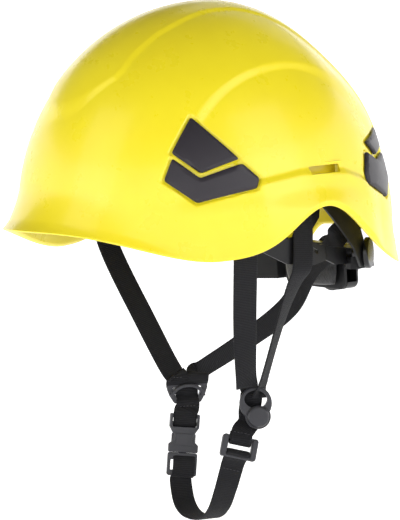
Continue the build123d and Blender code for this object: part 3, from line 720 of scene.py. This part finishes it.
def surface_height(point, out_way, out):
    """Slides a point along a direction until it lies on the shell, out millimetres outside it."""
    p = np.array(point, float)
    way = np.array(out_way, float)
    for _ in range(12):
        angle = np.arctan2(p[0], -(p[1]))
        guess = np.array([angle])
        for _ in range(4):
            rim = rim_at(guess)
            s = surface(guess, np.array([p[2]]), rim, out)[0]
            guess = guess + (math.atan2(p[0], -p[1]) - math.atan2(s[0], -s[1]))
        s = surface(guess, np.array([p[2]]), rim_at(guess), out)[0]
        ahead = np.hypot(s[0], s[1]) - np.hypot(p[0], p[1])
        slope = (p[0] * way[0] + p[1] * way[1]) / np.hypot(p[0], p[1])
        p = p + way * ahead / max(slope + 0.25 * way[2], 0.3) * 0.9
    return p


def shell_height_map(centre, side):
    """Least-squares surface: height over the facing plane as a polynomial, so plates follow the shell."""
    origin, across, up, out = facing(centre, side)
    rows, heights = [], []
    for i in range(-4, 5):
        for j in range(-4, 5):
            p = origin + across * (i * 8) + up * (j * 8)
            q = surface_height(p, out, 0)
            rel = Vector(q) - origin
            rows.append(terms(rel.dot(across), rel.dot(up)))
            heights.append(rel.dot(out))
    fit = np.linalg.lstsq(np.array(rows), np.array(heights), rcond=None)[0]
    return origin, across, up, out, fit


def terms(u, v):
    """Terms of the polynomial that follows the shell."""
    return [1, u, v, u * u, u * v, v * v, u ** 3, u * u * v, u * v * v, v ** 3, u ** 4, v ** 4, u * u * v * v]


def boundary_loop(bm):
    """Indices of the vertices round a flat mesh's open edge, in order."""
    ways = {}
    for e in bm.edges:
        if e.is_boundary:
            a, b = e.verts[0].index, e.verts[1].index
            ways.setdefault(a, []).append(b)
            ways.setdefault(b, []).append(a)
    start = min(ways)
    loop, before = [start], None
    while True:
        ahead = [v for v in ways[loop[-1]] if v != before]
        before = loop[-1]
        if ahead[0] == start:
            return loop
        loop.append(ahead[0])


# A plate's top and foot above the shell, and the width of its rounded edge, in mm
PLATE_TOP, PLATE_LOW, PLATE_EDGE = 0.55, -1.6, 1.0
# Rounding of its corners: a share of the shorter side, and at most this many mm
CORNER_SHARE, CORNER_MOST = 0.3, 1.6
# Spacing of its vertices round the outline, and the longest edge inside it, in mm
PLATE_STEP, PLATE_MESH = 1.5, 2.4


def plate(name, corners, centre, side, node):
    """A plate that follows the shell: an outline with rounded corners and a rounded upper edge."""
    origin, across, up, out, fit = shell_height_map(centre, side)
    outline = flat_outline(corners, centre, side)
    area = sum(a[0] * b[1] - b[0] * a[1] for a, b in zip(outline, outline[1:] + outline[:1]))
    if area < 0:
        outline = outline[::-1]
    bm = bmesh.new()
    ring = []
    n = len(outline)
    for i in range(n):
        a, b, c = (Vector(outline[k % n]) for k in (i - 1, i, i + 1))
        r = min(CORNER_MOST, (a - b).length * CORNER_SHARE, (c - b).length * CORNER_SHARE)
        start, end = b + (a - b).normalized() * r, b + (c - b).normalized() * r
        for t in (0, 0.33, 0.67, 1):
            ring.append(((1 - t) ** 2) * start + 2 * t * (1 - t) * b + t * t * end)
    dense = []
    for a, b in zip(ring, ring[1:] + ring[:1]):
        steps = max(int((b - a).length / PLATE_STEP), 1)
        dense += [a + (b - a) * (k / steps) for k in range(steps)]
    verts = [bm.verts.new((p.x, p.y, 0)) for p in dense]
    face = bm.faces.new(verts)
    bmesh.ops.triangulate(bm, faces=[face])
    for _ in range(4):
        long_edges = [e for e in bm.edges if e.calc_length() > PLATE_MESH and not e.is_boundary]
        if not long_edges:
            break
        bmesh.ops.subdivide_edges(bm, edges=long_edges, cuts=1)
        bmesh.ops.triangulate(bm, faces=[f for f in bm.faces if len(f.verts) > 3])
    bmesh.ops.beautify_fill(bm, faces=bm.faces[:], edges=[e for e in bm.edges if not e.is_boundary])
    pts = np.array([v.co[:2] for v in bm.verts])
    depth = -outline_distance(pts, [tuple(p) for p in dense])
    heights = {}
    for v, d in zip(bm.verts, depth):
        share = 1 - min(max(d, 0) / PLATE_EDGE, 1)
        heights[v.index] = PLATE_TOP - PLATE_EDGE * (1 - math.sqrt(max(1 - share ** 2, 0)))
    bm.verts.ensure_lookup_table()
    flat = [(v.co.x, v.co.y) for v in bm.verts]
    top_faces = [[v.index for v in f.verts] for f in bm.faces]
    edge_loop = boundary_loop(bm)
    bm.free()

    def place(u, v, h):
        base = float(np.dot(terms(u, v), fit))
        return (origin + across * u + up * v + out * (base + h)) * MM

    points = [place(u, v, heights[i]) for i, (u, v) in enumerate(flat)]
    count = len(points)
    points += [place(*flat[i], PLATE_LOW) for i in edge_loop]
    faces = [tuple(f) for f in top_faces]
    m = len(edge_loop)
    for k in range(m):
        faces.append((edge_loop[k], edge_loop[(k + 1) % m], count + (k + 1) % m, count + k))
    faces.append(tuple(count + k for k in range(m)))
    mesh = bpy.data.meshes.new(name)
    mesh.from_pydata(points, [], faces)
    bm = bmesh.new()
    bm.from_mesh(mesh)
    bmesh.ops.recalc_face_normals(bm, faces=bm.faces)
    bm.to_mesh(mesh)
    bm.free()
    smooth_shade(mesh, 38)
    return link(name, mesh, "clip_plastic", BODY[node], [node])


for side, word in ((1, "left"), (-1, "right")):
    for corners, centre, node in ((FRONT_COVER, FRONT_CENTRE, f"front_{word}_slot_cover"),
                                  (FRONT_CLIP, FRONT_CENTRE, f"front_{word}_lamp_clip"),
                                  (REAR_COVER, REAR_CENTRE, f"rear_{word}_slot_cover"),
                                  (REAR_CLIP, REAR_CENTRE, f"rear_{word}_lamp_clip")):
        plate(node + "_look", corners, centre, side, node)


# ------------------------------------------------------------------ webbing

LEFT_FRONT = [((92, -42, -6), (0.25, 0.97, 0)), ((87, -40.5, -31), (0.4, 0.92, 0)),
              ((64, -28.5, -80), (0.35, 0.94, 0)), ((45, -16.5, -118.5), (0.1, 1, 0))]
LEFT_REAR = [((45, -4, -118.5), (-0.57, 0.82, 0)), ((60, 2, -78), (-0.55, 0.83, 0)),
             ((73, 4.5, -54), (-0.3, 0.95, 0)), ((79.6, 6.8, -43), (0, 1, 0)),
             ((80.0, 8.5, -24), (0, 1, 0)), ((80.0, 8.5, 11), (0, 1, 0))]
RIGHT_FRONT = [((-92, -40, -6), (-0.2, 0.97, 0)), ((-86.5, -36, -33), (0.2, 0.95, 0)),
               ((-64, -26, -80), (0.3, 0.94, 0)), ((-43, -16, -120), (0.3, 0.95, 0))]
RIGHT_REAR = [((-43, 2, -121), (0.2, -0.6, 0.8)), ((-30, 38, -100), (0.1, -0.5, 0.86)),
              ((-6, 54, -79), (0, -0.25, 0.95)), ((14, 58, -55), (0, -0.1, 1)),
              ((43, 57, -36), (0, -0.1, 1)), ((50, 59, -26.5), (0, -0.1, 1)),
              ((46, 89, -14), (0.1, -0.1, 1))]
CHIN = [((-39.8, -17.4, -189.8), (0.35, 0.93, 0)), ((-37, -19, -197), (0.35, 0.93, 0)),
        ((-30, -21.5, -205), (0.35, 0.93, 0)), ((-19, -24, -209.6), (0.3, 0.95, 0)),
        ((-4, -25.5, -210.6), (0.25, 0.97, 0)), ((10, -26.5, -208), (0.3, 0.95, 0)),
        ((21, -27, -200), (0.35, 0.93, 0)), ((30, -26.8, -186), (0.4, 0.9, 0)),
        ((37.5, -24.4, -167.6), (0.4, 0.9, -0.3))]


def hardware_frame(origin, up, wide):
    """Frame of a piece of strap hardware in mm: x across, y up, z out of its face."""
    up = Vector(up).normalized()
    wide = Vector(wide)
    wide = (wide - up * wide.dot(up)).normalized()
    place = Matrix((wide, up, wide.cross(up))).transposed().to_4x4()
    place.translation = Vector(origin)
    return place


DIVIDER = hardware_frame((-42, -7.5, -131), (0.05, 0, 1), (0.35, 0.93, 0))
BUCKLE = hardware_frame((-42, -10, -147.5), (-2, 7, 40.5), (0.45, 0.89, 0))
ADJUSTER = hardware_frame((42, -8.5, -131.5), (-0.1, 0.12, 1), (0.5, 0.86, 0))
GLIDE = hardware_frame((40, -21.7, -159), (-0.12, 0.35, 0.93), (0.4, 0.8, -0.35))


def run_in(place, points, side=1):
    """Stations of webbing given in a hardware frame; side turns its width round."""
    wide = tuple(place.to_3x3() @ Vector((side, 0, 0)))
    return [(tuple(place @ Vector(p)), wide) for p in points]


def seam(name, place, rows, half=6.2):
    """Rows of stitches across webbing, each row centred on a point in a hardware frame."""
    up = place.to_3x3() @ Vector((0, 0, 1))
    lines = [(place @ Vector((x - half, y, z)), place @ Vector((x + half, y, z)), up) for x, y, z in rows]
    stitches(name, lines, "helmet")


def narrowed(amount, start, end):
    """Share of its full width that webbing keeps along its length, from 0 to 1."""
    return lambda t: 1 - amount * ease((t - start) / (end - start))


DIVIDER_LEFT = run_in(DIVIDER, [(-7.4, 10.5, 2.3), (-7.0, 6.0, 2.6), (-6.6, 2.6, 0.4)])
DIVIDER_RIGHT = run_in(DIVIDER, [(6.6, 2.6, 0.4), (7.0, 6.0, 2.6), (7.4, 10.5, 2.3)], -1)
ADJUSTER_FRONT = run_in(ADJUSTER, [(-4.6, 10.0, 1.6), (-3.6, 3.0, -0.6)])
ADJUSTER_REAR = [(tuple(ADJUSTER @ Vector((2.4, 3.5, -0.8))), (-0.3, 0.95, 0)),
                 (tuple(ADJUSTER @ Vector((3.4, 9.5, 0.2))), (-0.5, 0.86, 0))]
tape("left_front_tape", LEFT_FRONT + ADJUSTER_FRONT, "helmet", ["left_front_strap"],
     taper=narrowed(0.3, 0.88, 0.98))
tape("left_rear_tape", ADJUSTER_REAR + LEFT_REAR, "helmet", ["left_rear_strap"])
tape("right_front_tape", RIGHT_FRONT + DIVIDER_LEFT, "helmet", ["right_front_strap"])
tape("right_rear_tape", DIVIDER_RIGHT + RIGHT_REAR, "helmet", ["right_rear_strap"])
buckle_run = (run_in(DIVIDER, [(0, 2.6, -0.7), (0, -3.5, -0.9), (0, -8.2, 2.7), (0, -12, 2.4)])
              + run_in(BUCKLE, [(0, 2.0, 2.6), (0, -2.4, 2.4), (0, -6.0, 2.2), (0, -8.6, 0.6),
                                (0, -7.0, -2.1)]))
tape("buckle_tape", buckle_run, "helmet", ["buckle_strap"], width=15.6)
adjuster_run = (run_in(ADJUSTER, [(-2.6, 6, 0.6), (-3.0, 1.5, -0.6), (-3.6, -5, -4.4), (-4.0, -12, -3.6)])
                + run_in(GLIDE, [(0, 10, 1.4), (0, 4.4, 2.9), (0, 1.9, 0), (0, 4.4, -2.9), (0, 10, -1.9)]))
tape("adjuster_tape", adjuster_run, "helmet", ["adjuster_strap"], width=14.4)
glide_face = GLIDE.to_3x3() @ Vector((0, 0, 1))
glide_wide = CHIN[-1][1]
loose_end = [(tuple(Vector(p) - glide_face * 1.5), glide_wide)
             for p in ((37.5, -24.4, -167.6), (34.9, -25.3, -174.5))]
chin_run = (run_in(BUCKLE, [(1.2, -27.4, 1.2), (1.2, -31, 3.4), (1.2, -37, 3.7), (1.0, -41, 2.7)]) + CHIN
            + run_in(GLIDE, [(0, -4.4, 2.9), (0, -1.9, 0), (0, -4.4, -2.9)]) + loose_end)
chin = tape("chin_tape", chin_run, None, ["chin_strap"])
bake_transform(chin)
seam("divider_stitches", DIVIDER, [(-7.2, 9.0, 3.2), (7.2, 9.0, 3.2)], 5.5)
seam("buckle_stitches", DIVIDER, [(0, -11.0, 3.3)])
seam("glide_stitches", GLIDE, [(0, 9.4, 2.5)])
stitch_middle = Vector((35.2, -25.2, -173.6)) + glide_face * 0.75
stitch_half = Vector(glide_wide).normalized() * 6.3
stitches("chin_stitches", [(stitch_middle - stitch_half, stitch_middle + stitch_half, glide_face)], "helmet")


CRADLE_Y, CRADLE_LEVEL = -8, 16
CRADLE_STEPS = 24


def cradle(name, turn, half_length, height, node):
    """Webbing that arches over the head, turned from straight across by an angle in degrees."""
    stations = []
    turn = math.radians(turn)
    for i in range(CRADLE_STEPS + 1):
        a = math.pi * i / CRADLE_STEPS
        run, up = math.cos(a) * half_length, math.sin(a) * height
        stations.append(((run * math.cos(turn), CRADLE_Y + run * math.sin(turn), CRADLE_LEVEL + up),
                         (-math.sin(turn), math.cos(turn), 0)))
    tape(name, stations, "helmet", [node], width=19.6, thick=1.2)


cradle("cradle_tape_middle", 0, 92.7, 90.7, "cradle_strap_middle")
cradle("cradle_tape_front_right", 58, 104.7, 92.9, "cradle_strap_front_right")
cradle("cradle_tape_front_left", -58, 104.7, 95.1, "cradle_strap_front_left")

# ------------------------------------------------------------------ moulded parts kept from the frame

for node in ("brow_band", "left_side_band", "right_side_band", "left_rear_arm", "right_rear_arm"):
    refined(node, 0.5)
for node in ("left_rack_block", "right_rack_block", "cradle_anchors", "band_hooks", "strap_anchors",
             "arm_pivots", "nape_base", "nape_cover", "size_knob", "left_side_cap", "right_side_cap",
             "buckle_plug", "left_prong", "right_prong", "side_adjuster", "adjuster_button"):
    refined(node, 0.35)


def prism(name, outline, low, high, place):
    """A flat outline given height along a hardware frame's z axis."""
    n = len(outline)
    verts = [(place @ Vector((x, y, z))) * MM for z in (low, high) for x, y in outline]
    faces = [tuple(range(n - 1, -1, -1)), tuple(range(n, 2 * n))]
    faces += [(i, (i + 1) % n, n + (i + 1) % n, n + i) for i in range(n)]
    mesh = bpy.data.meshes.new(name)
    mesh.from_pydata(verts, [], faces)
    return mesh


def arc(x, y, rx, ry, start, end, count=14):
    """Points along part of an ellipse, its angles in degrees from its x axis."""
    angles = [math.radians(start + (end - start) * i / (count - 1)) for i in range(count)]
    return [(x + rx * math.cos(a), y + ry * math.sin(a)) for a in angles]


SOFT_ANGLE = 35


def softened(obj, width):
    """Rounds the hard edges of a piece of strap hardware."""
    b = obj.modifiers.new("edges", "BEVEL")
    b.width, b.segments = width * MM, 3
    b.limit_method, b.angle_limit = "ANGLE", math.radians(SOFT_ANGLE)
    b.use_clamp_overlap = True
    smooth_shade(obj.data, 40)


def box_outline(x0, y0, x1, y1):
    """Corners of a rectangle, anticlockwise."""
    return [(x0, y0), (x1, y0), (x1, y1), (x0, y1)]


def make_divider():
    """Arched bar over a curved slot, a crescent bar and a wide window with tapering sides."""
    outline = (arc(0, 4, 14, 6.5, 0, 180, 25) + [(-13.6, 0.5), (-12.2, -3.5), (-10.3, -7)]
               + arc(-7.6, -7.6, 2.2, 1.6, 180, 270, 6) + arc(7.6, -7.6, 2.2, 1.6, 270, 360, 6)
               + [(10.3, -7), (12.2, -3.5), (13.6, 0.5)])
    slot = arc(0, 3.4, 11.2, 4.4, 12, 168) + arc(0, 2.4, 10.6, 3.0, 166, 14)
    window = arc(0, 1.0, 10.2, 2.2, 8, 172) + [(-8.0, -4.6), (-7.2, -6.0), (7.2, -6.0), (8.0, -4.6)]
    obj = link("divider_look", prism("divider_look", outline, -1.8, 1.8, DIVIDER), "buckle_plastic", "helmet",
               ["strap_divider"])
    cut(obj, [prism("slot", slot, -9, 9, DIVIDER), prism("window", window, -9, 9, DIVIDER)])
    softened(obj, 0.5)
    crescent = arc(0, -5.6, 12.2, 9.8, 6, 174, 25) + arc(0, -5.8, 9.9, 7.9, 172, 8, 25)
    softened(link("divider_bar", prism("divider_bar", crescent, -1.9, 4.1, DIVIDER), "buckle_plastic",
                  "helmet"), 0.5)


def make_glide():
    """Slider with two rounded posts, a top bar and a bottom bar."""
    outline = []
    for x, y, start in ((9.3, 4.9, 0), (-9.3, 4.9, 90), (-9.3, -4.9, 180), (9.3, -4.9, 270)):
        outline += arc(x, y, 2.4, 2.3, start, start + 90, 7)
    obj = link("glide_look", prism("glide_look", outline, -1.7, 1.7, GLIDE), "buckle_plastic", "helmet",
               ["tri_glide"])
    cut(obj, [prism("window", box_outline(-8.1, -4.9, 8.1, 4.9), -9, 9, GLIDE)])
    softened(obj, 0.5)
    for high_x, low_x, word in ((-9.7, -9.9, "front"), (9.9, 9.7, "rear")):
        post = []
        for x, y, start in ((high_x, 5.4, 0), (low_x, 5.4, 90), (low_x, -5.4, 180), (high_x, -5.4, 270)):
            post += arc(x, y, 1.9, 1.9, start, start + 90, 6)
        softened(link(f"glide_post_{word}", prism("post", post, -2.3, 2.5, GLIDE), "buckle_plastic", "helmet"), 0.8)


def make_socket():
    """Buckle socket with an open loop at its top and a webbing bar across the loop."""
    obj = refined("buckle_socket", 0)
    cut(obj, [prism("loop", box_outline(-8.2, -9.0, 8.2, -3.0), -9, 9, BUCKLE),
              prism("relief", box_outline(-8.2, -5, 8.2, 3), 1.0, 9, BUCKLE)])
    softened(obj, 0.35)
    bar = arc(0, 0, 1.25, 1.25, 0, 345, 24)
    mesh = prism("loop_bar", [(x - 6.6, z) for x, z in bar], -8.6, 8.6,
                 BUCKLE @ Matrix(((0, 0, 1, 0), (1, 0, 0, 0), (0, 1, 0, 0), (0, 0, 0, 1))))
    softened(link("loop_bar", mesh, "buckle_plastic", "helmet"), 0.1)
    step = [(-6.6, -13.2), (6.6, -13.2), (5.2, -16.5), (5.2, -18.6), (7.0, -21.5), (-7.0, -21.5),
            (-5.2, -18.6), (-5.2, -16.5)]
    softened(link("socket_face", prism("socket_face", step, 3.6, 4.5, BUCKLE), "buckle_plastic", "helmet"), 0.4)


make_divider()
make_glide()
make_socket()
for node in ("pinion", "left_rack", "right_rack"):
    refined(node, 0.1, 1)
for word in ("left", "right"):
    tail = refined(f"{word}_side_tail", 0)
    tail.parent = None
    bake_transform(tail)


def slot_pocket(side, word):
    """Blind pocket behind the accessory slot over the ear: a back, a roof and a floor."""
    for part, size, centre in (("back", (1.4, 26.0, 9.6), (90.6, 14.6, 19.5)),
                               ("roof", (8.6, 24.0, 1.2), (95.4, 14.8, 23.6)),
                               ("floor", (8.6, 24.0, 1.2), (95.4, 14.8, 15.4))):
        name = f"slot_{part}_{word}"
        mesh = rounded_box(name, size, (centre[0] * side, centre[1], centre[2]))
        mesh.shade_smooth()
        link(name, mesh, "shell_yellow", "helmet")


slot_pocket(1, "left")
slot_pocket(-1, "right")

# ------------------------------------------------------------------ foam pads

def brow_cushion():
    """Foam pad inside the brow band, with rounded edges and sewn channels."""
    around, profile = 120, 36
    half_turn = math.radians(47.0)
    verts = []
    for i in range(around):
        t = i / (around - 1) * 2 - 1
        a = t * half_turn
        end = math.sqrt(max(1 - abs(t) ** 10, 0.0)) * 0.98 + 0.02
        channel = 0.45 * math.exp(-((abs(t) % 0.4 - 0.2) / 0.022) ** 2)
        for k in range(profile):
            b = 2 * math.pi * k / profile
            ca, sa = math.cos(b), math.sin(b)
            depth = math.copysign(abs(ca) ** 0.55, ca)
            tall = math.copysign(abs(sa) ** 0.5, sa)
            thick = 2.7 * (1 - channel if depth < 0 else 1) * end
            radial = 2.9 + depth * thick - (1.0 if depth < 0 else 0) * (1 - tall * tall) * end
            across = math.sin(a)
            ahead = math.cos(a)
            verts.append(((70 + radial) * across * MM, (-8 - (88 + radial) * ahead) * MM,
                          (6 + tall * 16.5 * (0.82 + 0.18 * end)) * MM))
    faces = grid_faces(around, profile, closed=True)
    faces.append(tuple(range(profile - 1, -1, -1)))
    faces.append(tuple((around - 1) * profile + k for k in range(profile)))
    mesh = bpy.data.meshes.new("brow_cushion")
    mesh.from_pydata(verts, [], faces)
    mesh.shade_smooth()
    obj = link("brow_cushion", mesh, "comfort_foam", "helmet", ["brow_pad"])


def nape_cushion():
    """Foam pad on the nape unit, with one sewn channel across its head side."""
    low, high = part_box("nape_pad")
    bm = bmesh.new()
    bmesh.ops.create_cube(bm, size=1.0)
    bmesh.ops.subdivide_edges(bm, edges=bm.edges[:], cuts=23, use_grid_fill=True)
    size, middle = high - low, (low + high) / 2
    for v in bm.verts:
        x, y, z = v.co * 2
        inner = max(1 - abs(x) ** 4, 0) ** 0.5 * max(1 - abs(z) ** 4, 0) ** 0.5
        channel = 0.25 * math.exp(-(z / 0.07) ** 2) if y < 0 else 0
        pinch = 1 - 0.5 * (1 - inner) * abs(y)
        v.co = Vector((middle.x + x * size.x / 2 * (1 - 0.10 * z * z),
                       middle.y + y * size.y / 2 * (0.25 + 0.75 * inner) * pinch + channel * 0.002,
                       middle.z + z * size.z / 2 * (1 - 0.12 * x * x)))
    mesh = bpy.data.meshes.new("nape_cushion")
    bm.to_mesh(mesh)
    bm.free()
    mesh.shade_smooth()
    obj = link("nape_cushion", mesh, "comfort_foam", "nape", ["nape_pad"])


brow_cushion()
nape_cushion()
